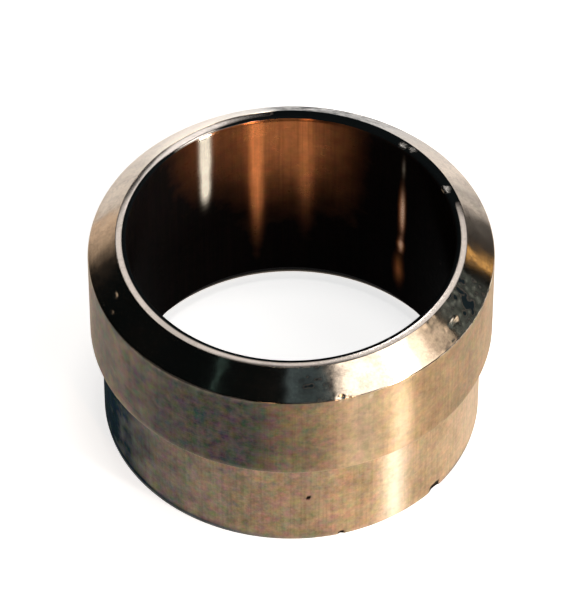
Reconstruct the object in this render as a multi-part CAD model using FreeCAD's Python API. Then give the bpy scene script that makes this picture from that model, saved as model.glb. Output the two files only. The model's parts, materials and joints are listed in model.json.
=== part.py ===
"""Compression olive: a brass ring that is squeezed between a coupling nut and a fitting to seal on a tube.

One turned piece, made by revolving its half section about the tube's axis. Sizes are millimetres.
The olive stands on its foot: +Z is the tube's axis and points at the nut, Z = 0 is the foot's resting plane.
"""

import FreeCAD, Part
import math
import os

# The tube that the olive slides on, and the room between them on each side.
TUBE_DIAMETER = 15.0
SLIP_CLEARANCE = 0.05

# Wall thicknesses, each measured outwards from the bore.
LIP_WALL = 0.53
BAND_WALL = 1.83
COLLAR_WALL = 1.3

# Lengths along the axis, from the nut's end down to the foot.
CONE_LENGTH = 1.03
BAND_LENGTH = 4.72
SHOULDER_LENGTH = 0.55
COLLAR_LENGTH = 4.85

# The lead-in at the foot, where the tube enters.
LEAD_IN_DEPTH = 0.55
LEAD_IN_LENGTH = 0.9

# Rounds that the turning tool and the tumbling leave on the corners.
MOUTH_ROUND = 0.2
LIP_EDGE_ROUND = 0.05
BAND_EDGE_ROUND = 0.1
NECK_ROUND = 0.2
FOOT_ROUND = 0.15

BORE_RADIUS = TUBE_DIAMETER / 2 + SLIP_CLEARANCE
LIP_RADIUS = BORE_RADIUS + LIP_WALL
BAND_RADIUS = BORE_RADIUS + BAND_WALL
COLLAR_RADIUS = BORE_RADIUS + COLLAR_WALL

NECK_HEIGHT = COLLAR_LENGTH
BAND_FOOT_HEIGHT = NECK_HEIGHT + SHOULDER_LENGTH
BAND_TOP_HEIGHT = BAND_FOOT_HEIGHT + BAND_LENGTH
LIP_HEIGHT = BAND_TOP_HEIGHT + CONE_LENGTH

SHARP = 0.0


def half_section():
    """The corners of the olive's wall as (radius, height, round), anticlockwise from the foot's inner edge."""
    return [
        (BORE_RADIUS + LEAD_IN_DEPTH, 0.0, SHARP),
        (COLLAR_RADIUS, 0.0, FOOT_ROUND),
        (COLLAR_RADIUS, NECK_HEIGHT, NECK_ROUND),
        (BAND_RADIUS, BAND_FOOT_HEIGHT, BAND_EDGE_ROUND),
        (BAND_RADIUS, BAND_TOP_HEIGHT, BAND_EDGE_ROUND),
        (LIP_RADIUS, LIP_HEIGHT, LIP_EDGE_ROUND),
        (BORE_RADIUS, LIP_HEIGHT, MOUTH_ROUND),
        (BORE_RADIUS, LEAD_IN_LENGTH, SHARP),
    ]


def corner_round(before, corner, after, radius):
    """Start, middle and end of the arc that rounds a corner between two straight sides."""
    towards_before = (before - corner).normalize()
    towards_after = (after - corner).normalize()
    half_angle = towards_before.getAngle(towards_after) / 2
    setback = radius / math.tan(half_angle)
    start = corner + towards_before * setback
    end = corner + towards_after * setback
    inwards = (towards_before + towards_after).normalize()
    middle = corner + inwards * (radius / math.sin(half_angle) - radius)
    return start, middle, end


def rounded_outline(section):
    """A closed wire in the XZ plane through the section's corners, with their rounds as tangent arcs."""
    corners = [FreeCAD.Vector(radius, 0, height) for radius, height, _ in section]
    bends = []
    for index, (_, _, corner_radius) in enumerate(section):
        corner = corners[index]
        if corner_radius == SHARP:
            bends.append((corner, None, corner))
        else:
            after = corners[(index + 1) % len(corners)]
            bends.append(corner_round(corners[index - 1], corner, after, corner_radius))
    edges = []
    for index, (start, middle, end) in enumerate(bends):
        previous_end = bends[index - 1][2]
        edges.append(Part.LineSegment(previous_end, start).toShape())
        if middle is not None:
            edges.append(Part.Arc(start, middle, end).toShape())
    return Part.Wire(edges)


def compression_olive():
    """The olive as one solid of revolution about the tube's axis."""
    wall = Part.Face(rounded_outline(half_section()))
    axis_point = FreeCAD.Vector(0, 0, 0)
    axis_direction = FreeCAD.Vector(0, 0, 1)
    return wall.revolve(axis_point, axis_direction, 360)


def main():
    """Writes the olive as a STEP file."""
    os.makedirs("parts", exist_ok=True)
    olive = compression_olive()
    olive.exportStep("parts/compression_olive.step")
    box = olive.optimalBoundingBox()
    print(f"compression_olive: valid {olive.isValid()}, {len(olive.Solids)} solid, {olive.Volume:.1f} mm3")
    print(f"diameter {box.XLength:.2f} mm, length {box.ZLength:.2f} mm")


main()
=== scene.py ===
"""Looks of a compression olive: a turned brass ring with a burnished cone, a satin band and a dark bore.

Lengths are metres and angles degrees. The olive stands at the origin with its bore along +Z. An angle round
the bore is 0 at the front, towards -Y, and grows towards +X.
"""

import json
import logging
import math
import random
from dataclasses import dataclass, field, replace
from enum import Enum

import bpy
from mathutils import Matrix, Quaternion, Vector, noise


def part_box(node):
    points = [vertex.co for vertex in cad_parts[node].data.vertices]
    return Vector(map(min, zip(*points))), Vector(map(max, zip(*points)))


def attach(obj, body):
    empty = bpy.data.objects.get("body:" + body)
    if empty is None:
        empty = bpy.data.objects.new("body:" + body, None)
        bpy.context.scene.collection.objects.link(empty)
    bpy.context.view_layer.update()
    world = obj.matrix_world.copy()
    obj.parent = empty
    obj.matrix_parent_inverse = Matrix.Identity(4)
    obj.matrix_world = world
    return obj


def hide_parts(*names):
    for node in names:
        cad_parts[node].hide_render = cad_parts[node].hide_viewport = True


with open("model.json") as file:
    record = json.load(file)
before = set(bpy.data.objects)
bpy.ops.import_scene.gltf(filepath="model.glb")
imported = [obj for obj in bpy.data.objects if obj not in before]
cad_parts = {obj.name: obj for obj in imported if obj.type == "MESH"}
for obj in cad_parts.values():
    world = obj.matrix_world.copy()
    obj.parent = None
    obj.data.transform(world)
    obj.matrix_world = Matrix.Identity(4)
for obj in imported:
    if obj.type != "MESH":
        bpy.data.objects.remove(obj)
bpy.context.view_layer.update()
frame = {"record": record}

log = logging.getLogger("compression_olive")

MM = 0.001
NODE = "compression_olive"
BODY = "root"
WHITE = (1.0, 1.0, 1.0, 1.0)
UNWORN = 0.0
FULL_TURN = 360.0

Triple = tuple[float, float, float]
Colour = tuple[float, float, float, float]
Operand = bpy.types.NodeSocket | float | Triple | Colour


class Zone(Enum):
    """The sides of the olive's half section, in the order in which the section goes round."""

    FOOT = "foot"
    COLLAR = "collar"
    SHOULDER = "shoulder"
    BAND = "band"
    CONE = "cone"
    LIP = "lip"
    BORE = "bore"
    LEAD_IN = "lead_in"


class SocketKind(Enum):
    """What a socket of an effect carries."""

    VALUE = "NodeSocketFloat"
    COLOUR = "NodeSocketColor"


class MeshField(Enum):
    """Values that the mesh carries from vertex to vertex for the finishes to read."""

    # Edge wear and bare nick metal, together with painted highlights.
    EDGE = "edge_wear"
    DIRT = "nick_dirt"
    # Staining, together with painted shade.
    STAIN = "stain"


@dataclass(frozen=True)
class Corner:
    """A corner of the half section: its round, the side that follows, and how far its edge is rubbed."""

    radius: float
    height: float
    round: float
    side: Zone
    wear: float


@dataclass(frozen=True)
class SectionPoint:
    """A point of the half section with its outward normal, its side, its path length and its edge wear."""

    radius: float
    height: float
    normal_radius: float
    normal_height: float
    side: Zone
    path: float
    edge: float


@dataclass
class OliveSection:
    """The olive's half section: main radii and heights from the CAD part, the rest as fields."""

    bore_radius: float
    band_radius: float
    collar_radius: float
    height: float
    lead_in_length: float
    lip_wall: float = 0.53 * MM
    cone_length: float = 1.03 * MM
    band_length: float = 4.72 * MM
    shoulder_length: float = 0.55 * MM
    lead_in_depth: float = 0.55 * MM
    mouth_round: float = 0.2 * MM
    lip_edge_round: float = 0.05 * MM
    band_edge_round: float = 0.1 * MM
    neck_round: float = 0.2 * MM
    foot_round: float = 0.15 * MM
    lead_in_round: float = 0.03 * MM
    foot_wear: float = 0.3
    band_wear: float = 0.15
    round_steps: int = 4
    least_steps: int = 2
    support_gap: float = 0.015 * MM
    edge_reach: float = 0.14 * MM
    spacing: dict[Zone, float] = field(default_factory=lambda: {
        Zone.FOOT: 0.3 * MM,
        Zone.COLLAR: 0.2 * MM,
        Zone.SHOULDER: 0.3 * MM,
        Zone.BAND: 0.2 * MM,
        Zone.CONE: 0.055 * MM,
        Zone.LIP: 0.06 * MM,
        Zone.BORE: 0.35 * MM,
        Zone.LEAD_IN: 0.5 * MM,
    })

    @classmethod
    def from_frame(cls) -> "OliveSection":
        """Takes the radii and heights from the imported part's mounts and box.

        Returns:
            The section at the part's real size.
        """
        mounts = {mount["name"]: mount for mount in frame["record"]["mounts"]}
        round_mounts = {name: mount for name, mount in mounts.items() if "r_mm" in mount["dims"]}
        radii = {name: mount["dims"]["r_mm"] * MM for name, mount in round_mounts.items()}
        bore = mounts["tube_bore"]
        low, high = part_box(NODE)
        return cls(
            bore_radius=radii["tube_bore"],
            band_radius=radii["band"],
            collar_radius=radii["collar"],
            height=high[2] - low[2],
            lead_in_length=bore["pos_m"][2] - bore["dims"]["length_mm"] * MM / 2,
        )

    def corners(self) -> list[Corner]:
        """Lists the corners of the section.

        Returns:
            The corners, anticlockwise from the foot's inner edge.
        """
        lip_radius = self.bore_radius + self.lip_wall
        band_top = self.height - self.cone_length
        band_foot = band_top - self.band_length
        neck = band_foot - self.shoulder_length
        foot_inner = self.bore_radius + self.lead_in_depth
        return [
            Corner(foot_inner, 0.0, self.lead_in_round, Zone.FOOT, self.foot_wear),
            Corner(self.collar_radius, 0.0, self.foot_round, Zone.COLLAR, self.foot_wear),
            Corner(self.collar_radius, neck, self.neck_round, Zone.SHOULDER, UNWORN),
            Corner(self.band_radius, band_foot, self.band_edge_round, Zone.BAND, self.band_wear),
            Corner(self.band_radius, band_top, self.band_edge_round, Zone.CONE, self.band_wear),
            Corner(lip_radius, self.height, self.lip_edge_round, Zone.LIP, UNWORN),
            Corner(self.bore_radius, self.height, self.mouth_round, Zone.BORE, UNWORN),
            Corner(self.bore_radius, self.lead_in_length, self.lead_in_round, Zone.LEAD_IN, UNWORN),
        ]

    def points(self) -> list[SectionPoint]:
        """Walks round the section and spaces points along its sides and rounds.

        Returns:
            The points of the closed section, in order.
        """
        corners = self.corners()
        places = [Vector((corner.radius, corner.height)) for corner in corners]
        traced: list[tuple[Vector, Vector, Zone, float]] = []
        for index, corner in enumerate(corners):
            before = places[index - 1]
            after = places[(index + 1) % len(places)]
            traced += self._round(before, places[index], after, corners[index - 1].side, corner)
            next_corner = corners[(index + 1) % len(corners)]
            beyond = places[(index + 2) % len(places)]
            start = traced[-1][0]
            end = self._tangent(places[index], after, beyond, next_corner.round)
            traced += self._side(start, end, corner.side, corner.wear, next_corner.wear)
        points = []
        path = 0.0
        previous = traced[0][0]
        for place, normal, side, edge in traced:
            path += (place - previous).length
            points.append(SectionPoint(place.x, place.y, normal.x, normal.y, side, path, edge))
            previous = place
        return points

    def _tangent(self, before: Vector, corner: Vector, after: Vector, radius: float) -> Vector:
        """Finds where a corner's round leaves the side before it.

        Args:
            before: The corner before.
            corner: The rounded corner.
            after: The corner after.
            radius: The radius of the round.

        Returns:
            The point where the straight side ends.
        """
        to_before = (before - corner).normalized()
        to_after = (after - corner).normalized()
        half_angle = to_before.angle(to_after) / 2
        return corner + to_before * radius / math.tan(half_angle)

    def _round(
        self, before: Vector, corner: Vector, after: Vector, side_before: Zone, at: Corner
    ) -> list[tuple[Vector, Vector, Zone, float]]:
        """Spaces points along a corner's round.

        Args:
            before: The corner before.
            corner: The rounded corner.
            after: The corner after.
            side_before: The side that ends in this corner.
            at: The corner's own round and the side that starts in it.

        Returns:
            Points as (place, outward normal, side, edge wear).
        """
        start = self._tangent(before, corner, after, at.round)
        end = self._tangent(after, corner, before, at.round)
        inward = ((before - corner).normalized() + (after - corner).normalized()).normalized()
        half_angle = (before - corner).angle(after - corner) / 2
        centre = corner + inward * at.round / math.sin(half_angle)
        arm = start - centre
        turn = arm.angle_signed(end - centre)
        convex = (corner - before).cross(after - corner) > 0
        points = []
        for step in range(self.round_steps + 1):
            share = step / self.round_steps
            angle = -turn * share
            turned = Vector((
                arm.x * math.cos(angle) - arm.y * math.sin(angle),
                arm.x * math.sin(angle) + arm.y * math.cos(angle),
            ))
            normal = turned.normalized() if convex else -turned.normalized()
            side = side_before if share < 0.5 else at.side
            points.append((centre + turned, normal, side, at.wear))
        return points

    def _side(
        self, start: Vector, end: Vector, side: Zone, start_wear: float, end_wear: float
    ) -> list[tuple[Vector, Vector, Zone, float]]:
        """Spaces points along a straight side, without its two ends.

        Args:
            start: Where the side leaves the round before it.
            end: Where it meets the next round.
            side: Which side it is.
            start_wear: How far the edge that it leaves is rubbed.
            end_wear: How far the edge that it meets is rubbed.

        Returns:
            Points as (place, outward normal, side, edge wear).
        """
        run = end - start
        length = run.length
        along = run / length
        normal = Vector((along.y, -along.x))
        count = max(self.least_steps, round(length / self.spacing[side]))
        stations = [self.support_gap]
        stations += [length * step / count for step in range(1, count)]
        stations += [length - self.support_gap]
        points = []
        for station in stations:
            from_start = start_wear * max(0.0, 1.0 - station / self.edge_reach)
            from_end = end_wear * max(0.0, 1.0 - (length - station) / self.edge_reach)
            points.append((start + along * station, normal, side, max(from_start, from_end)))
        return points


@dataclass(frozen=True)
class Nick:
    """A dent or pit: its place, its reach round and along the section, its depth, dirt and bare metal."""

    name: str
    angle: float
    side: Zone
    share: float
    half_width: float
    half_length: float
    depth: float
    dirt: float
    bare: float


NICKS = (
    Nick("collar_pit", 5.2, Zone.COLLAR, 0.61, 0.12 * MM, 0.12 * MM, 0.07 * MM, 1.0, 0.0),
    Nick("foot_chip_front", 15.2, Zone.COLLAR, 0.02, 0.18 * MM, 0.2 * MM, 0.1 * MM, 1.0, 0.0),
    Nick("foot_chip_right", 49.0, Zone.COLLAR, 0.03, 0.4 * MM, 0.34 * MM, 0.12 * MM, 1.0, 0.0),
    Nick("cone_edge_nick", 14.0, Zone.CONE, 0.05, 0.17 * MM, 0.15 * MM, 0.03 * MM, 0.0, 1.0),
    Nick("cone_edge_beside", 15.8, Zone.CONE, 0.02, 0.12 * MM, 0.1 * MM, 0.02 * MM, 0.0, 1.0),
    Nick("cone_edge_second", 22.4, Zone.BAND, 0.95, 0.14 * MM, 0.16 * MM, 0.03 * MM, 0.0, 1.0),
    Nick("cone_dent", 57.0, Zone.CONE, 0.45, 0.36 * MM, 0.2 * MM, 0.03 * MM, 0.0, 1.0),
    Nick("mouth_nick_back", 138.0, Zone.LIP, 0.7, 0.22 * MM, 0.2 * MM, 0.003 * MM, 0.0, 1.0),
    Nick("mouth_nick_beside", 134.3, Zone.LIP, 0.4, 0.2 * MM, 0.18 * MM, 0.003 * MM, 0.0, 1.0),
    Nick("mouth_nick_right", 112.5, Zone.LIP, 0.75, 0.22 * MM, 0.24 * MM, 0.003 * MM, 0.0, 1.0),
    Nick("cone_knock_left", -68.0, Zone.CONE, 0.55, 0.26 * MM, 0.18 * MM, 0.03 * MM, 0.0, 0.6),
    Nick("cone_knock_low", -64.0, Zone.CONE, 0.2, 0.2 * MM, 0.14 * MM, 0.03 * MM, 0.0, 0.5),
    Nick("band_speck", 82.0, Zone.BAND, 0.35, 0.12 * MM, 0.12 * MM, 0.07 * MM, 1.0, 0.0),
)


@dataclass(frozen=True)
class Patch:
    """A patch of staining, of painted shade or of painted highlight on one side of the section, which fades
    out from its middle.

    A strength above 1 gives the patch a broad full middle, and one below 0 takes from the patches under it.
    """

    name: str
    side: Zone
    angle: float
    angle_reach: float
    share: float
    share_reach: float
    strength: float

    def at(self, angle: float, share: float) -> float:
        """Works out the patch at one place.

        Args:
            angle: The angle round the bore, in degrees.
            share: How far along the side the place is, from 0 to 1.

        Returns:
            The patch's strength there.
        """
        around = math.remainder(angle - self.angle, FULL_TURN) / self.angle_reach
        along = (share - self.share) / self.share_reach
        return self.strength * math.exp(-around ** 2 - along ** 2)


SPOT_SIZES = (0.5, 1.5)
SPOT_STRENGTHS = (0.4, 1.0)


@dataclass(frozen=True)
class Speckle:
    """Small spots strewn round one place of a side, each a little different in size and strength."""

    name: str
    side: Zone
    angle: float
    angle_reach: float
    count: int
    spot_angle: float
    spot_share: float
    strength: float
    seed: int

    def patches(self) -> tuple[Patch, ...]:
        """Strews the spots, in the same places every time.

        Returns:
            One patch for each spot.
        """
        dice = random.Random(self.seed)
        return tuple(
            Patch(
                name=f"{self.name}_{number}",
                side=self.side,
                angle=dice.gauss(self.angle, self.angle_reach),
                angle_reach=self.spot_angle * dice.uniform(*SPOT_SIZES),
                share=dice.random(),
                share_reach=self.spot_share * dice.uniform(*SPOT_SIZES),
                strength=self.strength * dice.uniform(*SPOT_STRENGTHS),
            )
            for number in range(self.count)
        )


# Painted reflections: dark and bright flecks that break up the cone's reflections at its right and along
# the edges of its highlight.
SPECKLES = (
    Speckle("cone_shade_flecks_right", Zone.CONE, 67.0, 6.5, 40, 0.7, 0.07, 0.9, 3),
    Speckle("cone_bright_flecks_right", Zone.CONE, 61.0, 7.0, 34, 0.7, 0.07, -0.9, 5),
    Speckle("cone_shade_flecks_border", Zone.CONE, 51.0, 3.5, 34, 0.6, 0.06, 0.42, 7),
    Speckle("cone_shade_flecks_front", Zone.CONE, 9.0, 4.0, 22, 0.6, 0.06, 0.7, 11),
)
ALL_OVER = 100000.0
# Staining, and painted shade laid on like staining.
STAINS_AND_PAINTED_SHADE = (
    # The bore and lead-in are darkened all over, less towards the mouth.
    Patch("bore_darkening", Zone.BORE, 0.0, ALL_OVER, 0.5, ALL_OVER, 1.02),
    Patch("bore_clear_top", Zone.BORE, 183.0, 17.0, 0.0, 0.38, -0.69),
    Patch("bore_clear_left", Zone.BORE, 214.0, 12.0, 0.0, 0.3, -0.16),
    Patch("bore_clear_right", Zone.BORE, 160.0, 8.0, 0.25, 0.35, -0.07),
    # Painted highlights: the darkening is taken off in narrow stripes where lamp streaks fall in the bore.
    Patch("bore_streak_left", Zone.BORE, 192.4, 2.2, 0.22, 0.36, -1.1),
    Patch("bore_streak_middle", Zone.BORE, 174.8, 2.6, 0.12, 0.4, -0.35),
    Patch("bore_streak_right", Zone.BORE, 136.2, 1.5, 0.4, 0.14, -0.5),
    Patch("bore_streak_dot", Zone.BORE, 136.6, 1.5, 0.63, 0.035, -0.5),
    Patch("bore_streak_low", Zone.BORE, 137.3, 2.4, 0.8, 0.09, -0.27),
    Patch("lead_in_darkening", Zone.LEAD_IN, 0.0, ALL_OVER, 0.5, ALL_OVER, 1.02),
    # Painted shade: the lip is darkened at the back, along the mouth and at the left and front, where it
    # reflects dark surroundings; lip_mouth_clear takes the mouth's shade off at the left-back.
    Patch("lip_back", Zone.LIP, 146.0, 18.0, 0.5, ALL_OVER, 140.0),
    Patch("lip_mouth", Zone.LIP, 0.0, ALL_OVER, 1.0, 0.2, 6.0),
    Patch("lip_mouth_clear", Zone.LIP, 216.0, 24.0, 1.0, 0.2, -6.0),
    Patch("lip_painted_shade_left", Zone.LIP, 239.0, 14.0, 0.5, ALL_OVER, 0.24),
    Patch("lip_painted_shade_front", Zone.LIP, -42.0, 9.0, 0.5, ALL_OVER, 0.2),
    # Painted shade: dark reflections laid on the cone at its back, left, front and right.
    Patch("cone_back", Zone.CONE, 158.0, 24.0, 0.5, ALL_OVER, 0.78),
    Patch("cone_back_left", Zone.CONE, 182.0, 14.0, 0.5, ALL_OVER, 0.6),
    Patch("cone_painted_shade_left", Zone.CONE, 234.0, 20.0, 0.5, ALL_OVER, 0.25),
    Patch("cone_painted_reflection", Zone.CONE, 5.0, 7.0, 0.5, ALL_OVER, 0.5),
    Patch("cone_painted_reflection_right", Zone.CONE, 68.0, 9.0, 0.5, ALL_OVER, 0.75),
    Patch("cone_painted_shade_right", Zone.CONE, 50.0, 8.0, 0.5, ALL_OVER, 0.36),
    Patch("cone_right_painted_shade", Zone.CONE, 110.0, 7.0, 0.5, ALL_OVER, 0.42),
    # Painted shade along the edge between the cone and the band, on the left and front.
    Patch("cone_low_edge", Zone.CONE, -40.0, 45.0, 0.0, 0.06, 1.2),
    Patch("band_top_edge", Zone.BAND, -40.0, 45.0, 1.0, 0.02, 0.5),
    # Painted shade: the band is darkened on its left and front, where it reflects shadowed floor.
    Patch("band_painted_shade", Zone.BAND, -36.0, 44.0, 0.5, 1.6, 0.95),
    Patch("band_painted_shade_front", Zone.BAND, -13.0, 15.0, 0.5, 1.6, 0.3),
    Patch("band_painted_shade_left", Zone.BAND, -71.0, 11.0, 0.5, 1.6, 0.22),
    Patch("band_haze", Zone.BAND, 0.0, ALL_OVER, 0.5, ALL_OVER, 0.06),
    Patch("band_haze_right", Zone.BAND, 60.0, 9.0, 0.5, ALL_OVER, 0.22),
    # Painted reflection: dark teal on the collar's left, with painted shade over its left half.
    Patch("collar_painted_reflection", Zone.COLLAR, -92.0, 40.0, 0.5, 1.6, 0.6),
    Patch("collar_painted_shade", Zone.COLLAR, -50.0, 75.0, 0.5, ALL_OVER, 0.62),
    # Painted shadow: a dark line along the foot's edge at the left and right.
    Patch("collar_foot", Zone.COLLAR, -60.0, 45.0, 0.0, 0.048, 1.6),
    Patch("collar_foot_right", Zone.COLLAR, 60.0, 13.0, 0.0, 0.035, 1.1),
    *(spot for speckle in SPECKLES for spot in speckle.patches()),
)
# Painted highlights: bright bare metal laid where lamp streaks fall.
PAINTED_HIGHLIGHTS = (
    # Painted highlight streaks in the bore.
    Patch("bore_wide_top", Zone.BORE, 212.4, 1.7, 0.0, 0.1, 2.4),
    Patch("bore_wide", Zone.BORE, 212.4, 1.7, 0.17, 0.1, 2.4),
    Patch("bore_wide_end", Zone.BORE, 212.4, 1.5, 0.34, 0.07, 2.0),
    Patch("bore_thin_top", Zone.BORE, 135.8, 0.7, 0.11, 0.05, 0.22),
    Patch("bore_thin", Zone.BORE, 136.0, 0.9, 0.4, 0.11, 0.34),
    Patch("bore_thin_dot", Zone.BORE, 136.5, 0.9, 0.63, 0.03, 0.3),
    # Painted highlights on the back of the cone, the band and the collar.
    Patch("cone_painted_highlight_back", Zone.CONE, 214.0, 17.0, 1.0, 0.5, 1.0),
    Patch("band_painted_highlight_front", Zone.BAND, 19.0, 7.0, 0.5, ALL_OVER, 0.4),
    Patch("band_painted_highlight", Zone.BAND, 32.5, 3.4, 0.35, 0.6, 0.5),
    Patch("collar_painted_highlight", Zone.COLLAR, 33.0, 4.2, 0.5, ALL_OVER, 0.8),
    Patch("collar_painted_highlight_right", Zone.COLLAR, 74.0, 18.0, 0.5, ALL_OVER, 0.28),
)


NOISE_MIDDLE = 0.5
UNSCALED = 1.0


@dataclass(frozen=True)
class Octaves:
    """The finer layers of a noise texture: how many there are, and how strong each is beside the last."""

    count: float
    strength: float


class Wiring:
    """Adds nodes to one node tree and links them."""

    def __init__(self, tree: bpy.types.NodeTree) -> None:
        """Keeps the tree that the nodes go into."""
        self.tree = tree

    def node(
        self,
        kind: str,
        options: dict[str, object] | None = None,
        inputs: dict[str | int, Operand] | None = None,
    ) -> bpy.types.Node:
        """Adds a node.

        Args:
            kind: Blender's name of the node type.
            options: The node's own settings.
            inputs: What goes into its sockets, as a value or as another node's socket.

        Returns:
            The new node.
        """
        node = self.tree.nodes.new(kind)
        for option, value in (options or {}).items():
            setattr(node, option, value)
        for socket, operand in (inputs or {}).items():
            self.fill(node.inputs[socket], operand)
        return node

    def fill(self, socket: bpy.types.NodeSocket, operand: Operand) -> None:
        """Links a socket to another node's, or sets its value.

        Args:
            socket: The socket to fill.
            operand: A socket to link from, or a value.
        """
        if isinstance(operand, bpy.types.NodeSocket):
            self.tree.links.new(operand, socket)
        else:
            socket.default_value = operand

    def math(self, operation: str, first: Operand, second: Operand = 0.0) -> bpy.types.NodeSocket:
        """Works out one sum.

        Args:
            operation: Blender's name of the operation.
            first: The first number.
            second: The second number.

        Returns:
            The result's socket.
        """
        return self.node("ShaderNodeMath", {"operation": operation}, {0: first, 1: second}).outputs[0]

    def remap(
        self, value: Operand, low: float, high: float, to_low: Operand, to_high: Operand
    ) -> bpy.types.NodeSocket:
        """Maps a number from one range to another, and holds it inside.

        Args:
            value: The number.
            low: Where the first range starts.
            high: Where it ends.
            to_low: Where the second range starts.
            to_high: Where it ends.

        Returns:
            The result's socket.
        """
        sockets = {"Value": value, "From Min": low, "From Max": high, "To Min": to_low, "To Max": to_high}
        return self.node("ShaderNodeMapRange", {"clamp": True}, sockets).outputs["Result"]

    def mix(self, share: Operand, base: Operand, over: Operand, blend: str = "MIX") -> bpy.types.NodeSocket:
        """Mixes two colours.

        Args:
            share: How much of the second colour shows.
            base: The first colour.
            over: The second colour.
            blend: Blender's name of the way of mixing.

        Returns:
            The mixed colour's socket.
        """
        factor, first, second, result = 0, 6, 7, 2
        options = {"data_type": "RGBA", "blend_type": blend}
        sockets = {factor: share, first: base, second: over}
        return self.node("ShaderNodeMix", options, sockets).outputs[result]

    def noise(self, place: Operand, scale: Operand, octaves: Octaves) -> bpy.types.NodeOutputs:
        """Adds a noise texture.

        Args:
            place: The coordinates that it is read at.
            scale: Its frequency.
            octaves: Its finer layers.

        Returns:
            Its outputs: the value from 0 to 1 first, and then the colour.
        """
        sockets = {"Vector": place, "Scale": scale, "Detail": octaves.count, "Roughness": octaves.strength}
        return self.node("ShaderNodeTexNoise", {}, sockets).outputs

    def vector(self, operation: str, inputs: dict[str | int, Operand]) -> bpy.types.NodeOutputs:
        """Works out one sum of vectors.

        Args:
            operation: Blender's name of the operation.
            inputs: What goes into its sockets.

        Returns:
            The node's outputs.
        """
        return self.node("ShaderNodeVectorMath", {"operation": operation}, inputs).outputs

    def millimetres(self) -> bpy.types.NodeSocket:
        """Gives the place on the olive in millimetres."""
        place = self.node("ShaderNodeTexCoord").outputs["Object"]
        return self.vector("SCALE", {0: place, "Scale": 1 / MM})[0]

    def attribute(self, field_name: MeshField) -> bpy.types.NodeSocket:
        """Reads a value that the mesh carries."""
        options = {"attribute_type": "GEOMETRY", "attribute_name": field_name.value}
        return self.node("ShaderNodeAttribute", options).outputs["Fac"]


@dataclass(frozen=True)
class Knob:
    """A named input or output of an effect."""

    name: str
    kind: SocketKind


class Effect:
    """A shader node group that several finishes share, each with its own values."""

    name = ""
    inputs: tuple[Knob, ...] = ()
    outputs: tuple[Knob, ...] = ()

    def __init__(self) -> None:
        """Builds the group once."""
        self.tree = bpy.data.node_groups.new(self.name, "ShaderNodeTree")
        sockets = self.tree.interface
        for direction, knobs in (("INPUT", self.inputs), ("OUTPUT", self.outputs)):
            for knob in knobs:
                sockets.new_socket(knob.name, in_out=direction, socket_type=knob.kind.value)
        wiring = Wiring(self.tree)
        entry = wiring.node("NodeGroupInput")
        leave = wiring.node("NodeGroupOutput")
        for name, socket in self.wire(wiring, entry.outputs).items():
            wiring.fill(leave.inputs[name], socket)

    def wire(self, wiring: Wiring, knobs: bpy.types.NodeOutputs) -> dict[str, bpy.types.NodeSocket]:
        """Lays out the group's nodes.

        Args:
            wiring: The group's node tree.
            knobs: The group's inputs.

        Returns:
            Each output's name with the socket that feeds it.
        """
        raise NotImplementedError

    def place(self, wiring: Wiring, values: dict[str, Operand]) -> bpy.types.NodeOutputs:
        """Puts the effect into a material.

        Args:
            wiring: The material's node tree.
            values: What goes into the effect's inputs.

        Returns:
            The effect's outputs.
        """
        return wiring.node("ShaderNodeGroup", {"node_tree": self.tree}, values).outputs


class TurningMarks(Effect):
    """Fine rings that the lathe tool leaves: they follow the section's path and waver a little round it."""

    name = "Turning marks"
    inputs = (
        Knob("Rings per mm", SocketKind.VALUE),
        Knob("Waver", SocketKind.VALUE),
    )
    outputs = (Knob("Groove", SocketKind.VALUE),)
    octaves = Octaves(3.0, 0.6)

    def wire(self, wiring: Wiring, knobs: bpy.types.NodeOutputs) -> dict[str, bpy.types.NodeSocket]:
        """Reads noise along height less radius, so that rings run round every side of the section.

        Args:
            wiring: The group's node tree.
            knobs: The group's inputs.

        Returns:
            The groove's socket by name.
        """
        axes = wiring.node("ShaderNodeSeparateXYZ", {}, {0: wiring.millimetres()}).outputs
        across = wiring.math("POWER", axes["X"], 2.0)
        deep = wiring.math("POWER", axes["Y"], 2.0)
        radius = wiring.math("SQRT", wiring.math("ADD", across, deep))
        path = wiring.math("SUBTRACT", axes["Z"], radius)
        rings = wiring.math("MULTIPLY", path, knobs["Rings per mm"])
        side = wiring.math("MULTIPLY", wiring.math("DIVIDE", axes["X"], radius), knobs["Waver"])
        front = wiring.math("MULTIPLY", wiring.math("DIVIDE", axes["Y"], radius), knobs["Waver"])
        place = wiring.node("ShaderNodeCombineXYZ", {}, {0: rings, 1: side, 2: front}).outputs[0]
        return {"Groove": wiring.noise(place, UNSCALED, self.octaves)[0]}


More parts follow.
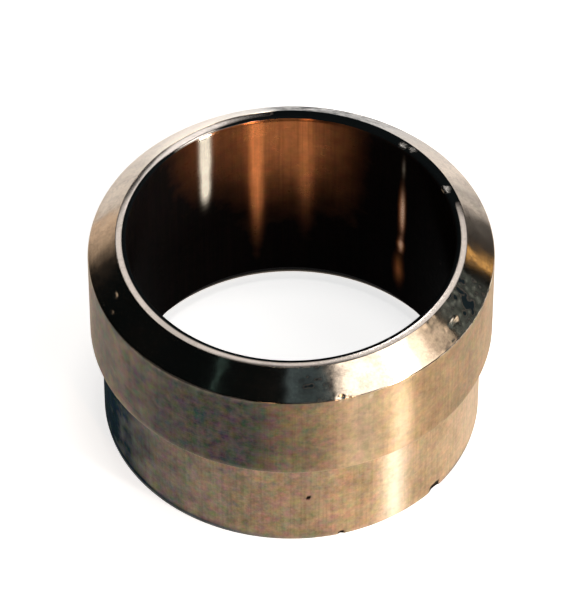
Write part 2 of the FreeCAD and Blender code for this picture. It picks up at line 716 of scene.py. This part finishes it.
class Tarnish(Effect):
    """Cloudy patches where the brass has dulled, broken up by small grains."""

    name = "Tarnish"
    inputs = (
        Knob("Patches per mm", SocketKind.VALUE),
        Knob("Grains per mm", SocketKind.VALUE),
        Knob("Spread", SocketKind.VALUE),
        Knob("Bright", SocketKind.COLOUR),
        Knob("Dull", SocketKind.COLOUR),
    )
    outputs = (Knob("Colour", SocketKind.COLOUR), Knob("Dullness", SocketKind.VALUE))
    cloud_octaves = Octaves(4.0, 0.6)
    grain_octaves = Octaves(3.0, 0.65)
    grain_share = 0.8
    bright_below = 0.3
    dull_above = 0.75

    def wire(self, wiring: Wiring, knobs: bpy.types.NodeOutputs) -> dict[str, bpy.types.NodeSocket]:
        """Adds a coarse and a fine noise and mixes the two colours by them.

        Args:
            wiring: The group's node tree.
            knobs: The group's inputs.

        Returns:
            The sockets of the mixed colour and of the dullness by name.
        """
        place = wiring.millimetres()
        clouds = wiring.noise(place, knobs["Patches per mm"], self.cloud_octaves)[0]
        grains = wiring.noise(place, knobs["Grains per mm"], self.grain_octaves)[0]
        fine = wiring.math("MULTIPLY", wiring.math("SUBTRACT", grains, NOISE_MIDDLE), self.grain_share)
        both = wiring.math("ADD", clouds, fine)
        lifted = wiring.math("ADD", both, wiring.math("SUBTRACT", knobs["Spread"], NOISE_MIDDLE))
        dullness = wiring.remap(lifted, self.bright_below, self.dull_above, 0.0, 1.0)
        return {"Colour": wiring.mix(dullness, knobs["Bright"], knobs["Dull"]), "Dullness": dullness}


class AxialWipe(Effect):
    """Faint streaks along the bore's axis, as from wiping the ring or pushing it over a tube."""

    name = "Axial wipe"
    inputs = (
        Knob("Streaks per mm", SocketKind.VALUE),
        Knob("Stretch", SocketKind.VALUE),
    )
    outputs = (Knob("Streak", SocketKind.VALUE),)
    octaves = Octaves(2.0, 0.55)

    def wire(self, wiring: Wiring, knobs: bpy.types.NodeOutputs) -> dict[str, bpy.types.NodeSocket]:
        """Reads noise that is drawn out along the axis.

        Args:
            wiring: The group's node tree.
            knobs: The group's inputs.

        Returns:
            The streak's socket by name.
        """
        axes = wiring.node("ShaderNodeSeparateXYZ", {}, {0: wiring.millimetres()}).outputs
        drawn = wiring.math("DIVIDE", axes["Z"], knobs["Stretch"])
        place = wiring.node("ShaderNodeCombineXYZ", {}, {0: axes["X"], 1: axes["Y"], 2: drawn}).outputs[0]
        return {"Streak": wiring.noise(place, knobs["Streaks per mm"], self.octaves)[0]}


class StainedAndShadedMetal(Effect):
    """A dark film where the mesh carries staining and painted shade, broken up so that it has no clean
    edge.
    """

    name = "Stained and shaded metal"
    inputs = (
        Knob("Colour", SocketKind.COLOUR),
        Knob("Film", SocketKind.COLOUR),
        Knob("Film metallic", SocketKind.VALUE),
        Knob("Break-up", SocketKind.VALUE),
    )
    outputs = (
        Knob("Colour", SocketKind.COLOUR),
        Knob("Film cover", SocketKind.VALUE),
        Knob("Metallic", SocketKind.VALUE),
    )
    clouds_per_mm = 1.1
    octaves = Octaves(4.0, 0.65)
    metal_shows_below = 0.7

    def wire(self, wiring: Wiring, knobs: bpy.types.NodeOutputs) -> dict[str, bpy.types.NodeSocket]:
        """Lifts and lowers the mesh's staining and painted shade by noise before mixing the film in.

        Args:
            wiring: The group's node tree.
            knobs: The group's inputs.

        Returns:
            The sockets of the stained and shaded colour, the film's cover and the metallic value by name.
        """
        clouds = wiring.noise(wiring.millimetres(), self.clouds_per_mm, self.octaves)[0]
        lift = wiring.math("MULTIPLY", wiring.math("SUBTRACT", clouds, NOISE_MIDDLE), knobs["Break-up"])
        stain = wiring.attribute(MeshField.STAIN)
        broken = wiring.math("MULTIPLY", lift, stain)
        cover = wiring.remap(wiring.math("ADD", stain, broken), 0.0, 1.0, 0.0, 1.0)
        return {
            "Colour": wiring.mix(cover, knobs["Colour"], knobs["Film"]),
            "Film cover": cover,
            "Metallic": wiring.remap(cover, self.metal_shows_below, 1.0, 1.0, knobs["Film metallic"]),
        }


class OxideTints(Effect):
    """Small rosy, olive and dark spots of thin oxide on the brass."""

    name = "Oxide tints"
    inputs = (
        Knob("Colour", SocketKind.COLOUR),
        Knob("Spots per mm", SocketKind.VALUE),
        Knob("Amount", SocketKind.VALUE),
    )
    outputs = (Knob("Colour", SocketKind.COLOUR),)
    octaves = Octaves(3.0, 0.7)
    grey_share = 0.4
    contrast = (4.0, 4.0, 4.0)
    lift = (-1.0, -1.0, -1.0)
    darkest = (0.1, 0.1, 0.1)

    def wire(self, wiring: Wiring, knobs: bpy.types.NodeOutputs) -> dict[str, bpy.types.NodeSocket]:
        """Multiplies the colour by noise whose three channels differ a little, and whose middle is white.

        Args:
            wiring: The group's node tree.
            knobs: The group's inputs.

        Returns:
            The tinted colour's socket by name.
        """
        cells = wiring.noise(wiring.millimetres(), knobs["Spots per mm"], self.octaves)
        spots = wiring.mix(self.grey_share, cells["Color"], cells[0])
        spread = wiring.vector("MULTIPLY_ADD", {0: spots, 1: self.contrast, 2: self.lift})
        held = wiring.vector("MAXIMUM", {0: spread[0], 1: self.darkest})
        return {"Colour": wiring.mix(knobs["Amount"], knobs["Colour"], held[0], "MULTIPLY")}


class HandlingWear(Effect):
    """Bare metal along rubbed edges and in painted highlights, and dirt held in nicks and pits."""

    name = "Handling wear"
    inputs = (
        Knob("Colour", SocketKind.COLOUR),
        Knob("Roughness", SocketKind.VALUE),
        Knob("Metallic", SocketKind.VALUE),
        Knob("Bare", SocketKind.COLOUR),
        Knob("Dirt", SocketKind.COLOUR),
        Knob("Edge wear and painted highlight", SocketKind.VALUE),
        Knob("Least wear", SocketKind.VALUE),
        Knob("Bare roughness", SocketKind.VALUE),
    )
    outputs = (
        Knob("Colour", SocketKind.COLOUR),
        Knob("Roughness", SocketKind.VALUE),
        Knob("Metallic", SocketKind.VALUE),
    )
    spots_per_mm = 2.2
    octaves = Octaves(3.0, 0.6)
    least_below = 0.3
    most_above = 0.6
    clean_below = 0.1
    dirty_above = 0.7
    dirt_roughness = 0.7
    bare_above = 0.2

    def wire(self, wiring: Wiring, knobs: bpy.types.NodeOutputs) -> dict[str, bpy.types.NodeSocket]:
        """Breaks the mesh's edge wear and painted highlight up with noise, and darkens where the mesh holds
        dirt in a nick.

        Args:
            wiring: The group's node tree.
            knobs: The group's inputs.

        Returns:
            The sockets of the worn colour, the roughness and the metallic value by name.
        """
        spots = wiring.noise(wiring.millimetres(), self.spots_per_mm, self.octaves)[0]
        patchy = wiring.remap(spots, self.least_below, self.most_above, knobs["Least wear"], 1.0)
        # The mesh value holds painted highlights as well as edge wear.
        rubbed = wiring.math("MULTIPLY", wiring.attribute(MeshField.EDGE), patchy)
        worn = wiring.math("MULTIPLY", rubbed, knobs["Edge wear and painted highlight"])
        bared = wiring.mix(worn, knobs["Colour"], knobs["Bare"])
        held_dirt = wiring.attribute(MeshField.DIRT)
        dirty = wiring.remap(held_dirt, self.clean_below, self.dirty_above, 0.0, 1.0)
        smooth = wiring.remap(worn, 0.0, 1.0, knobs["Roughness"], knobs["Bare roughness"])
        return {
            "Colour": wiring.mix(dirty, bared, knobs["Dirt"]),
            "Roughness": wiring.remap(dirty, 0.0, 1.0, smooth, self.dirt_roughness),
            "Metallic": wiring.remap(worn, 0.0, self.bare_above, knobs["Metallic"], 1.0),
        }


@dataclass(frozen=True)
class Effects:
    """The effects that the brass finishes share."""

    marks: TurningMarks
    tarnish: Tarnish
    wipe: AxialWipe
    stain: StainedAndShadedMetal
    tints: OxideTints
    wear: HandlingWear


@dataclass(frozen=True)
class BrassFinish:
    """One finish of the brass: its colours, gloss, grain and marks."""

    name: str
    bright: Colour
    dull: Colour
    bare: Colour
    roughness: float
    dull_roughness: float
    bare_roughness: float
    grain: float
    patches_per_mm: float
    tarnish: float
    rings_per_mm: float
    ring_depth: float
    wipe_tint: float
    film: Colour
    film_break_up: float
    tint_amount: float
    dirt: Colour = (0.02, 0.015, 0.01, 1.0)
    grains_per_mm: float = 6.0
    edge_wear: float = 0.8
    least_wear: float = 0.35
    film_metallic: float = 0.0
    edge_tint: Colour = WHITE
    ring_waver: float = 0.7
    streaks_per_mm: float = 8.0
    streak_stretch: float = 40.0
    streak_from: float = 0.42
    streak_to: float = 0.66
    tints_per_mm: float = 2.2
    clean_tint_share: float = 0.15
    film_ior: float = 1.02
    grain_turn: float = 0.25

    def material(self, effects: Effects) -> bpy.types.Material:
        """Builds the finish as a material.

        Args:
            effects: The node groups that the finishes share.

        Returns:
            The material.
        """
        material = bpy.data.materials.new(self.name)
        material.use_nodes = True
        material.node_tree.nodes.clear()
        wiring = Wiring(material.node_tree)
        tarnish = effects.tarnish.place(wiring, {
            "Patches per mm": self.patches_per_mm,
            "Grains per mm": self.grains_per_mm,
            "Spread": self.tarnish,
            "Bright": self.bright,
            "Dull": self.dull,
        })
        marks = effects.marks.place(wiring, {"Rings per mm": self.rings_per_mm, "Waver": self.ring_waver})
        wipe = effects.wipe.place(wiring, {
            "Streaks per mm": self.streaks_per_mm,
            "Stretch": self.streak_stretch,
        })
        streak = wiring.remap(wipe["Streak"], self.streak_from, self.streak_to, 0.0, self.wipe_tint)
        # The film colours staining and painted shade.
        stained = effects.stain.place(wiring, {
            "Colour": tarnish["Colour"],
            "Film": self.film,
            "Film metallic": self.film_metallic,
            "Break-up": self.film_break_up,
        })
        wiped = wiring.mix(streak, stained["Colour"], self.dirt)
        clean_tint = self.tint_amount * self.clean_tint_share
        amount = wiring.remap(stained["Film cover"], 0.0, 1.0, clean_tint, self.tint_amount)
        tinted = effects.tints.place(wiring, {
            "Colour": wiped,
            "Spots per mm": self.tints_per_mm,
            "Amount": amount,
        })
        gloss = wiring.remap(tarnish["Dullness"], 0.0, 1.0, self.roughness, self.dull_roughness)
        wear = effects.wear.place(wiring, {
            "Colour": tinted["Colour"],
            "Roughness": gloss,
            "Metallic": stained["Metallic"],
            "Bare": self.bare,
            "Dirt": self.dirt,
            "Edge wear and painted highlight": self.edge_wear,
            "Least wear": self.least_wear,
            "Bare roughness": self.bare_roughness,
        })
        bump = wiring.node("ShaderNodeBump", {}, {
            "Strength": 1.0,
            "Distance": self.ring_depth,
            "Height": marks["Groove"],
        })
        shader = wiring.node("ShaderNodeBsdfPrincipled", {}, {
            "Base Color": wear["Colour"],
            "Roughness": wear["Roughness"],
            "Metallic": wear["Metallic"],
            "IOR": self.film_ior,
            "Specular Tint": self.edge_tint,
            "Anisotropic": self.grain,
            "Anisotropic Rotation": self.grain_turn,
            "Normal": bump.outputs["Normal"],
        })
        output = wiring.node("ShaderNodeOutputMaterial")
        wiring.fill(output.inputs["Surface"], shader.outputs["BSDF"])
        return material


TURNED_SATIN = BrassFinish(
    name="brass_turned_satin",
    bright=(0.57, 0.372, 0.19, 1.0),
    dull=(0.39, 0.245, 0.125, 1.0),
    bare=(0.9, 0.76, 0.55, 1.0),
    roughness=0.36,
    dull_roughness=0.4,
    bare_roughness=0.3,
    grain=1.0,
    patches_per_mm=0.5,
    grains_per_mm=5.0,
    tarnish=0.45,
    rings_per_mm=18.0,
    ring_depth=0.011 * MM,
    wipe_tint=0.16,
    edge_wear=0.6,
    least_wear=0.6,
    # Dark colour for staining and for the painted shade on the band's left.
    film=(0.075, 0.066, 0.054, 1.0),
    film_metallic=1.0,
    film_break_up=0.8,
    tint_amount=0.9,
)
TURNED_COLLAR = replace(
    TURNED_SATIN,
    name="brass_turned_collar",
    bright=(0.68, 0.46, 0.257, 1.0),
    dull=(0.47, 0.3, 0.155, 1.0),
    bare=(0.9, 0.8, 0.65, 1.0),
    # Dark teal: the painted reflection on the collar's left.
    film=(0.01, 0.04, 0.062, 1.0),
    film_metallic=0.0,
    film_break_up=0.6,
)
BURNISHED_CONE = BrassFinish(
    name="brass_burnished_cone",
    bright=(0.6, 0.495, 0.395, 1.0),
    dull=(0.4, 0.325, 0.265, 1.0),
    bare=(0.95, 0.85, 0.7, 1.0),
    dirt=(0.02, 0.02, 0.02, 1.0),
    roughness=0.11,
    dull_roughness=0.17,
    bare_roughness=0.3,
    grain=0.3,
    patches_per_mm=1.2,
    tarnish=0.4,
    rings_per_mm=9.0,
    ring_depth=0.0008 * MM,
    wipe_tint=0.1,
    # Near black: the painted dark reflections on the cone.
    film=(0.008, 0.014, 0.017, 1.0),
    film_break_up=1.0,
    tint_amount=0.1,
)
FACED_END = BrassFinish(
    name="brass_faced_end",
    bright=(0.86, 0.765, 0.7, 1.0),
    dull=(0.55, 0.48, 0.43, 1.0),
    bare=(1.0, 0.94, 0.88, 1.0),
    roughness=0.12,
    dull_roughness=0.15,
    bare_roughness=0.4,
    grain=0.2,
    patches_per_mm=0.6,
    tarnish=0.3,
    rings_per_mm=9.0,
    ring_depth=0.0003 * MM,
    wipe_tint=0.0,
    # Near black: the painted dark reflections on the lip.
    film=(0.006, 0.008, 0.009, 1.0),
    film_break_up=0.4,
    tint_amount=0.1,
    edge_tint=(0.4, 0.4, 0.4, 1.0),
)
BORED_WALL = BrassFinish(
    name="brass_bored_wall",
    bright=(0.95, 0.318, 0.105, 1.0),
    dull=(0.69, 0.23, 0.08, 1.0),
    bare=(1.0, 0.89, 0.72, 1.0),
    dirt=(0.02, 0.01, 0.008, 1.0),
    roughness=0.27,
    dull_roughness=0.3,
    bare_roughness=0.24,
    grain=1.0,
    patches_per_mm=0.4,
    grains_per_mm=2.0,
    tarnish=0.5,
    rings_per_mm=20.0,
    ring_depth=0.012 * MM,
    wipe_tint=0.2,
    edge_wear=1.0,
    least_wear=0.9,
    # Near black: darkens the bore.
    film=(0.006, 0.005, 0.005, 1.0),
    film_break_up=0.1,
    tint_amount=0.25,
    edge_tint=(0.45, 0.42, 0.4, 1.0),
)

FINISH_OF_SIDE = {
    Zone.FOOT: FACED_END,
    Zone.COLLAR: TURNED_COLLAR,
    Zone.SHOULDER: TURNED_COLLAR,
    Zone.BAND: TURNED_SATIN,
    Zone.CONE: BURNISHED_CONE,
    Zone.LIP: FACED_END,
    Zone.BORE: BORED_WALL,
    Zone.LEAD_IN: BORED_WALL,
}


@dataclass(frozen=True)
class NickMark:
    """What nicks do at one vertex: how deep they are, and how much dirt or bare metal shows."""

    depth: float = 0.0
    dirt: float = 0.0
    bare: float = 0.0


@dataclass
class TurnedRing:
    """The olive's visible ring: the half section swept round the bore, with knocks and shallow waves."""

    section: OliveSection
    nicks: tuple[Nick, ...] = NICKS
    stains_and_painted_shade: tuple[Patch, ...] = STAINS_AND_PAINTED_SHADE
    painted_highlights: tuple[Patch, ...] = PAINTED_HIGHLIGHTS
    segments: int = 600
    nick_raggedness: float = 0.5
    nick_grain: float = 2.0
    nick_spread: float = 2.0
    wave_depth: float = 0.004 * MM
    cone_wave_depth: float = 0.007 * MM
    wave_size: float = 0.6 * MM
    lip_fall_inside: float = 2.5
    lip_fall_outside: float = 8.0

    def build(self) -> bpy.types.Object:
        """Sweeps the section into a mesh and adds it to the scene.

        Returns:
            The ring's object.
        """
        points = self.section.points()
        marks = self._nick_marks(points)
        vertices = []
        wear_and_highlight_values = []
        dirt_values = []
        stain_and_shade_values = []
        spans = self._spans(points)
        for segment in range(self.segments):
            angle = math.tau * segment / self.segments
            for index, point in enumerate(points):
                mark = marks.get((segment, index), NickMark())
                inward = mark.depth + self._wave(point, angle)
                radius = point.radius - inward * point.normal_radius
                height = point.height - inward * point.normal_height - self._lip_drop(point)
                vertices.append((radius * math.sin(angle), -radius * math.cos(angle), height))
                # Painted highlights join the edge wear and the bare metal of nicks.
                rubbed = self._patches(self.painted_highlights, point, angle, spans)
                wear_and_highlight_values.append(min(1.0, max(point.edge, rubbed, mark.bare)))
                dirt_values.append(mark.dirt)
                # Staining and painted shade, carried in the mesh.
                stain_and_shade_values.append(self._patches(self.stains_and_painted_shade, point, angle, spans))
        mesh = bpy.data.meshes.new(NODE + "_ring")
        mesh.from_pydata(vertices, [], self._faces(len(points)))
        self._carry(mesh, MeshField.EDGE, wear_and_highlight_values)
        self._carry(mesh, MeshField.DIRT, dirt_values)
        self._carry(mesh, MeshField.STAIN, stain_and_shade_values)
        self._unwrap(mesh, points)
        mesh.polygons.foreach_set("use_smooth", [True] * len(mesh.polygons))
        mesh.update()
        ring = bpy.data.objects.new("olive_ring", mesh)
        bpy.context.scene.collection.objects.link(ring)
        return ring

    def dress(self, ring: bpy.types.Object, effects: Effects) -> None:
        """Gives each side of the section its finish.

        Args:
            ring: The ring's object.
            effects: The node groups that the finishes share.
        """
        slots: dict[str, int] = {}
        for finish in FINISH_OF_SIDE.values():
            if finish.name not in slots:
                slots[finish.name] = len(slots)
                ring.data.materials.append(finish.material(effects))
        points = self.section.points()
        slot_of_strip = [slots[FINISH_OF_SIDE[point.side].name] for point in points]
        ring.data.polygons.foreach_set("material_index", slot_of_strip * self.segments)

    def join(self, ring: bpy.types.Object) -> None:
        """Puts the ring in the place of the CAD node.

        Args:
            ring: The ring's object.
        """
        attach(ring, BODY)
        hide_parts(NODE)

    def _faces(self, count: int) -> list[tuple[int, int, int, int]]:
        """Lists the quads of the sweep, segment by segment.

        Args:
            count: How many points the section has.

        Returns:
            The corners of each quad.
        """
        faces = []
        for segment in range(self.segments):
            here = segment * count
            there = (segment + 1) % self.segments * count
            for index in range(count):
                after = (index + 1) % count
                faces.append((here + index, there + index, there + after, here + after))
        return faces

    def _wave(self, point: SectionPoint, angle: float) -> float:
        """Gives the depth of the shallow waves that handling leaves in the metal.

        Args:
            point: The point of the section.
            angle: The angle round the bore, in radians.

        Returns:
            How far the metal lies under its true surface.
        """
        place = Vector((point.radius * math.sin(angle), -point.radius * math.cos(angle), point.height))
        depth = self.cone_wave_depth if point.side is Zone.CONE else self.wave_depth
        return depth * (0.5 + 0.5 * noise.noise(place / self.wave_size))

    def _lip_drop(self, point: SectionPoint) -> float:
        """Works out how far the slightly domed lip falls away from the mouth outwards.

        Args:
            point: The point of the section.

        Returns:
            How far the point lies under the flat end.
        """
        if point.side is not Zone.LIP:
            return 0.0
        width = self.section.lip_wall - self.section.mouth_round
        run = max(0.0, point.radius - self.section.bore_radius - self.section.mouth_round)
        first = math.tan(math.radians(self.lip_fall_inside))
        last = math.tan(math.radians(self.lip_fall_outside))
        return run * first + run ** 2 / (2 * width) * (last - first)

    def _spans(self, points: list[SectionPoint]) -> dict[Zone, tuple[float, float]]:
        """Finds where each side starts and ends along the section's path.

        Args:
            points: The points of the section.

        Returns:
            The first and last path length of each side.
        """
        spans: dict[Zone, tuple[float, float]] = {}
        for point in points:
            low, high = spans.get(point.side, (point.path, point.path))
            spans[point.side] = (min(low, point.path), max(high, point.path))
        return spans

    def _patches(
        self,
        patches: tuple[Patch, ...],
        point: SectionPoint,
        angle: float,
        spans: dict[Zone, tuple[float, float]],
    ) -> float:
        """Adds up patches at a vertex.

        Args:
            patches: The patches of staining and painted shade, or of painted highlight.
            point: The point of the section.
            angle: The angle round the bore, in radians.
            spans: Where each side starts and ends.

        Returns:
            All patches there together, and never less than nothing.
        """
        low, high = spans[point.side]
        share = (point.path - low) / (high - low)
        here = sum(patch.at(math.degrees(angle), share) for patch in patches if patch.side is point.side)
        return max(0.0, here)

    def _nick_marks(self, points: list[SectionPoint]) -> dict[tuple[int, int], NickMark]:
        """Works out what the nicks do at the vertices that they reach.

        Args:
            points: The points of the section.

        Returns:
            The mark at each (segment, point) that a nick reaches.
        """
        marks: dict[tuple[int, int], NickMark] = {}
        spans = self._spans(points)
        for nick in self.nicks:
            low, high = spans[nick.side]
            centre = low + (high - low) * nick.share
            for index, point in enumerate(points):
                along = (point.path - centre) / nick.half_length
                if abs(along) >= 1.0:
                    continue
                for segment in range(self.segments):
                    turn = math.radians(nick.angle) - math.tau * segment / self.segments
                    around = math.remainder(turn, math.tau) * point.radius / nick.half_width
                    if abs(around) >= 1.0:
                        continue
                    place = Vector((along * self.nick_grain, around * self.nick_grain, nick.angle))
                    ragged = self.nick_raggedness * noise.noise(place)
                    reach = 1.0 - along * along - around * around - ragged
                    if reach > 0.0:
                        old = marks.get((segment, index), NickMark())
                        shown = min(1.0, reach * self.nick_spread)
                        marks[segment, index] = NickMark(
                            depth=max(old.depth, nick.depth * reach),
                            dirt=max(old.dirt, nick.dirt * shown),
                            bare=max(old.bare, nick.bare * shown),
                        )
        return marks

    def _carry(self, mesh: bpy.types.Mesh, name: MeshField, values: list[float]) -> None:
        """Stores one value for each vertex."""
        mesh.attributes.new(name.value, "FLOAT", "POINT").data.foreach_set("value", values)

    def _unwrap(self, mesh: bpy.types.Mesh, points: list[SectionPoint]) -> None:
        """Unrolls the ring into a map: once round across it, and the section's path up it.

        Args:
            mesh: The ring's mesh.
            points: The points of the section.
        """
        first = Vector((points[0].radius, points[0].height))
        last = Vector((points[-1].radius, points[-1].height))
        whole = points[-1].path + (first - last).length
        paths = [point.path / whole for point in points] + [1.0]
        coordinates = []
        for segment in range(self.segments):
            left = segment / self.segments
            right = (segment + 1) / self.segments
            for index in range(len(points)):
                low, high = paths[index], paths[index + 1]
                coordinates += [left, low, right, low, right, high, left, high]
        mesh.uv_layers.new(name="unrolled").data.foreach_set("uv", coordinates)


@dataclass(frozen=True)
class SoftBox:
    """A lamp with a plain rectangular face: where it hangs, its size, its tilt and its brightness."""

    name: str
    azimuth: float
    elevation: float
    distance: float
    width: float
    height: float
    roll: float
    brightness: float
    colour: Triple


PLAIN_LIGHT = (1.0, 1.0, 1.0)
DAYLIGHT = (1.0, 0.97, 0.93)
WARM_DAYLIGHT = (1.0, 0.86, 0.7)
SKYLIGHT = (0.55, 0.84, 1.0)
COOL_LIGHT = (0.8, 1.0, 1.0)
TEAL_LIGHT = (0.45, 0.9, 0.9)
LAMPLIGHT = (1.0, 0.62, 0.38)
ROSY_LIGHT = (1.0, 0.72, 0.58)
AMBER_LIGHT = (1.0, 0.6, 0.2)
SOFT_BOXES = (
    SoftBox("overhead", 100.0, 88.0, 0.6, 0.14, 0.14, 0.0, 12.0, DAYLIGHT),
    SoftBox("key_low", 53.0, 16.0, 0.45, 0.045, 0.11, 0.0, 55.0, DAYLIGHT),
    SoftBox("cone_box", 51.0, 45.7, 0.5, 0.31, 0.1, -16.0, 2.0, DAYLIGHT),
    SoftBox("cone_soft", 58.5, 44.2, 0.5, 0.345, 0.1, -16.0, 1.1, DAYLIGHT),
    SoftBox("cone_end", 78.5, 40.0, 0.5, 0.255, 0.1, -16.0, 1.7, WARM_DAYLIGHT),
    SoftBox("front_card", 11.0, 55.4, 0.5, 0.14, 0.1, 0.0, 0.24, SKYLIGHT),
    SoftBox("front_glint", -46.0, 52.5, 0.5, 0.008, 0.1, 0.0, 0.36, TEAL_LIGHT),
    SoftBox("right_card", 109.0, 27.0, 0.5, 0.2, 0.12, -25.0, 0.24, COOL_LIGHT),
    SoftBox("floor_lamp", 100.0, 65.0, 0.5, 0.12, 0.12, 0.0, 4.0, DAYLIGHT),
    SoftBox("right_low", 98.0, 6.0, 0.4, 0.35, 0.05, 0.0, 4.5, DAYLIGHT),
    SoftBox("front_low", 36.0, 6.0, 0.4, 0.24, 0.05, 0.0, 3.2, DAYLIGHT),
    SoftBox("warm_strip", 27.0, 27.0, 0.45, 0.03, 0.17, 0.0, 14.0, LAMPLIGHT),
    SoftBox("faint_strip", -10.5, 25.0, 0.45, 0.03, 0.14, 0.0, 5.0, LAMPLIGHT),
    SoftBox("left_strip", -78.0, 14.0, 0.45, 0.03, 0.09, 0.0, 10.0, ROSY_LIGHT),
    SoftBox("back_panel", 180.0, 51.8, 0.45, 0.24, 0.15, 0.0, 0.8, DAYLIGHT),
    SoftBox("back_left", -172.8, 39.0, 0.45, 0.04, 0.1, 0.0, 1.25, PLAIN_LIGHT),
    SoftBox("lip_spot", 171.6, 52.4, 0.45, 0.012, 0.034, -26.0, 12.0, PLAIN_LIGHT),
    SoftBox("amber_card", 127.0, 13.5, 0.45, 0.05, 0.04, 0.0, 1.2, AMBER_LIGHT),
)


@dataclass
class Studio:
    """The pale floor, the lamps, the dim room and the camera."""

    section: OliveSection
    floor_half: float = 1.5
    floor_colour: Colour = (0.9, 0.9, 0.9, 1.0)
    floor_glow: float = 0.74
    room_horizon: Colour = (0.1, 0.1, 0.1, 1.0)
    room_window: Colour = (0.95, 0.77, 0.6, 1.0)
    room_above: Colour = (0.003, 0.005, 0.006, 1.0)
    window_side: Triple = (-0.707, 0.707, 0.0)
    window_edge: float = 0.6
    window_middle: float = 0.95
    horizon_rise: float = 0.08
    dark_rise: float = 0.22
    view_elevation: float = 46.85
    view_distance: float = 0.2438
    aim_across: float = 0.00008
    aim_height: float = 0.0068
    lens: float = 318.8
    sensor: float = 36.0
    nearest_seen: float = 0.01

    def lay_floor(self) -> None:
        """Lays the plain floor that the olive stands on."""
        half = self.floor_half
        mesh = bpy.data.meshes.new("floor")
        corners = [(-half, -half, 0), (half, -half, 0), (half, half, 0), (-half, half, 0)]
        mesh.from_pydata(corners, [], [(0, 1, 2, 3)])
        floor = bpy.data.objects.new("floor", mesh)
        bpy.context.scene.collection.objects.link(floor)
        material = bpy.data.materials.new("floor_paper")
        material.use_nodes = True
        material.node_tree.nodes.clear()
        wiring = Wiring(material.node_tree)
        rays = wiring.node("ShaderNodeLightPath").outputs
        seen = wiring.math("ADD", rays["Is Camera Ray"], rays["Is Glossy Ray"])
        seen = wiring.math("ADD", seen, rays["Is Transmission Ray"])
        glow = wiring.math("MULTIPLY", seen, self.floor_glow)
        emission = wiring.node("ShaderNodeEmission", {}, {"Color": WHITE, "Strength": glow})
        paper = wiring.node("ShaderNodeBsdfDiffuse", {}, {"Color": self.floor_colour})
        both = wiring.node("ShaderNodeAddShader", {}, {0: emission.outputs[0], 1: paper.outputs[0]})
        output = wiring.node("ShaderNodeOutputMaterial")
        wiring.fill(output.inputs["Surface"], both.outputs[0])
        mesh.materials.append(material)

    def fill_room(self) -> None:
        """Surrounds the olive with a dim room that is paler near the horizon, most of all at the window."""
        world = bpy.data.worlds.new("room")
        world.use_nodes = True
        world.node_tree.nodes.clear()
        wiring = Wiring(world.node_tree)
        direction = wiring.node("ShaderNodeTexCoord").outputs["Generated"]
        towards = wiring.vector("DOT_PRODUCT", {0: direction, 1: self.window_side})["Value"]
        near_window = wiring.remap(towards, self.window_edge, self.window_middle, 0.0, 1.0)
        horizon = wiring.mix(near_window, self.room_horizon, self.room_window)
        rise = wiring.node("ShaderNodeSeparateXYZ", {}, {0: direction}).outputs["Z"]
        share = wiring.remap(rise, self.horizon_rise, self.dark_rise, 0.0, 1.0)
        colour = wiring.mix(share, horizon, self.room_above)
        background = wiring.node("ShaderNodeBackground", {}, {"Color": colour, "Strength": 1.0})
        output = wiring.node("ShaderNodeOutputWorld")
        wiring.fill(output.inputs["Surface"], background.outputs["Background"])
        bpy.context.scene.world = world

    def hang(self, box: SoftBox) -> None:
        """Hangs a soft box that points at the olive.

        Args:
            box: The soft box.
        """
        lamp = bpy.data.lights.new(box.name, "AREA")
        lamp.shape = "RECTANGLE"
        lamp.size = box.width
        lamp.size_y = box.height
        lamp.energy = box.brightness * math.pi * box.width * box.height
        lamp.color = box.colour
        holder = bpy.data.objects.new(box.name, lamp)
        level = math.cos(math.radians(box.elevation))
        direction = Vector((
            level * math.sin(math.radians(box.azimuth)),
            -level * math.cos(math.radians(box.azimuth)),
            math.sin(math.radians(box.elevation)),
        ))
        holder.location = direction * box.distance + Vector((0, 0, self.section.height))
        roll = Quaternion((0.0, 0.0, 1.0), math.radians(box.roll))
        holder.rotation_euler = (direction.to_track_quat("Z", "Y") @ roll).to_euler()
        bpy.context.scene.collection.objects.link(holder)

    def place_camera(self) -> None:
        """Sets the camera at the photograph's viewing angle."""
        camera = bpy.data.cameras.new("camera")
        camera.lens = self.lens
        camera.sensor_width = self.sensor
        camera.clip_start = self.nearest_seen
        holder = bpy.data.objects.new("camera", camera)
        elevation = math.radians(self.view_elevation)
        lip_centre = Vector((0, 0, self.section.height))
        view = Vector((0, -math.cos(elevation), math.sin(elevation)))
        holder.location = lip_centre + self.view_distance * view
        aim = Vector((self.aim_across, 0, self.aim_height))
        holder.rotation_euler = (aim - holder.location).to_track_quat("-Z", "Y").to_euler()
        bpy.context.scene.collection.objects.link(holder)
        bpy.context.scene.camera = holder


def main() -> None:
    """Builds the ring, dresses it and sets up the studio round it."""
    logging.basicConfig(level=logging.INFO, format="%(message)s")
    section = OliveSection.from_frame()
    ring_maker = TurnedRing(section)
    ring = ring_maker.build()
    effects = Effects(TurningMarks(), Tarnish(), AxialWipe(), StainedAndShadedMetal(), OxideTints(), HandlingWear())
    ring_maker.dress(ring, effects)
    ring_maker.join(ring)
    log.info("%s: %d quads, %d finishes", ring.name, len(ring.data.polygons), len(ring.data.materials))
    studio = Studio(section)
    studio.lay_floor()
    studio.fill_room()
    for box in SOFT_BOXES:
        studio.hang(box)
    studio.place_camera()
    log.info("studio: floor, room, lamps and camera")
    bpy.context.scene.view_settings.view_transform = "Standard"


if __name__ == "__main__":
    main()
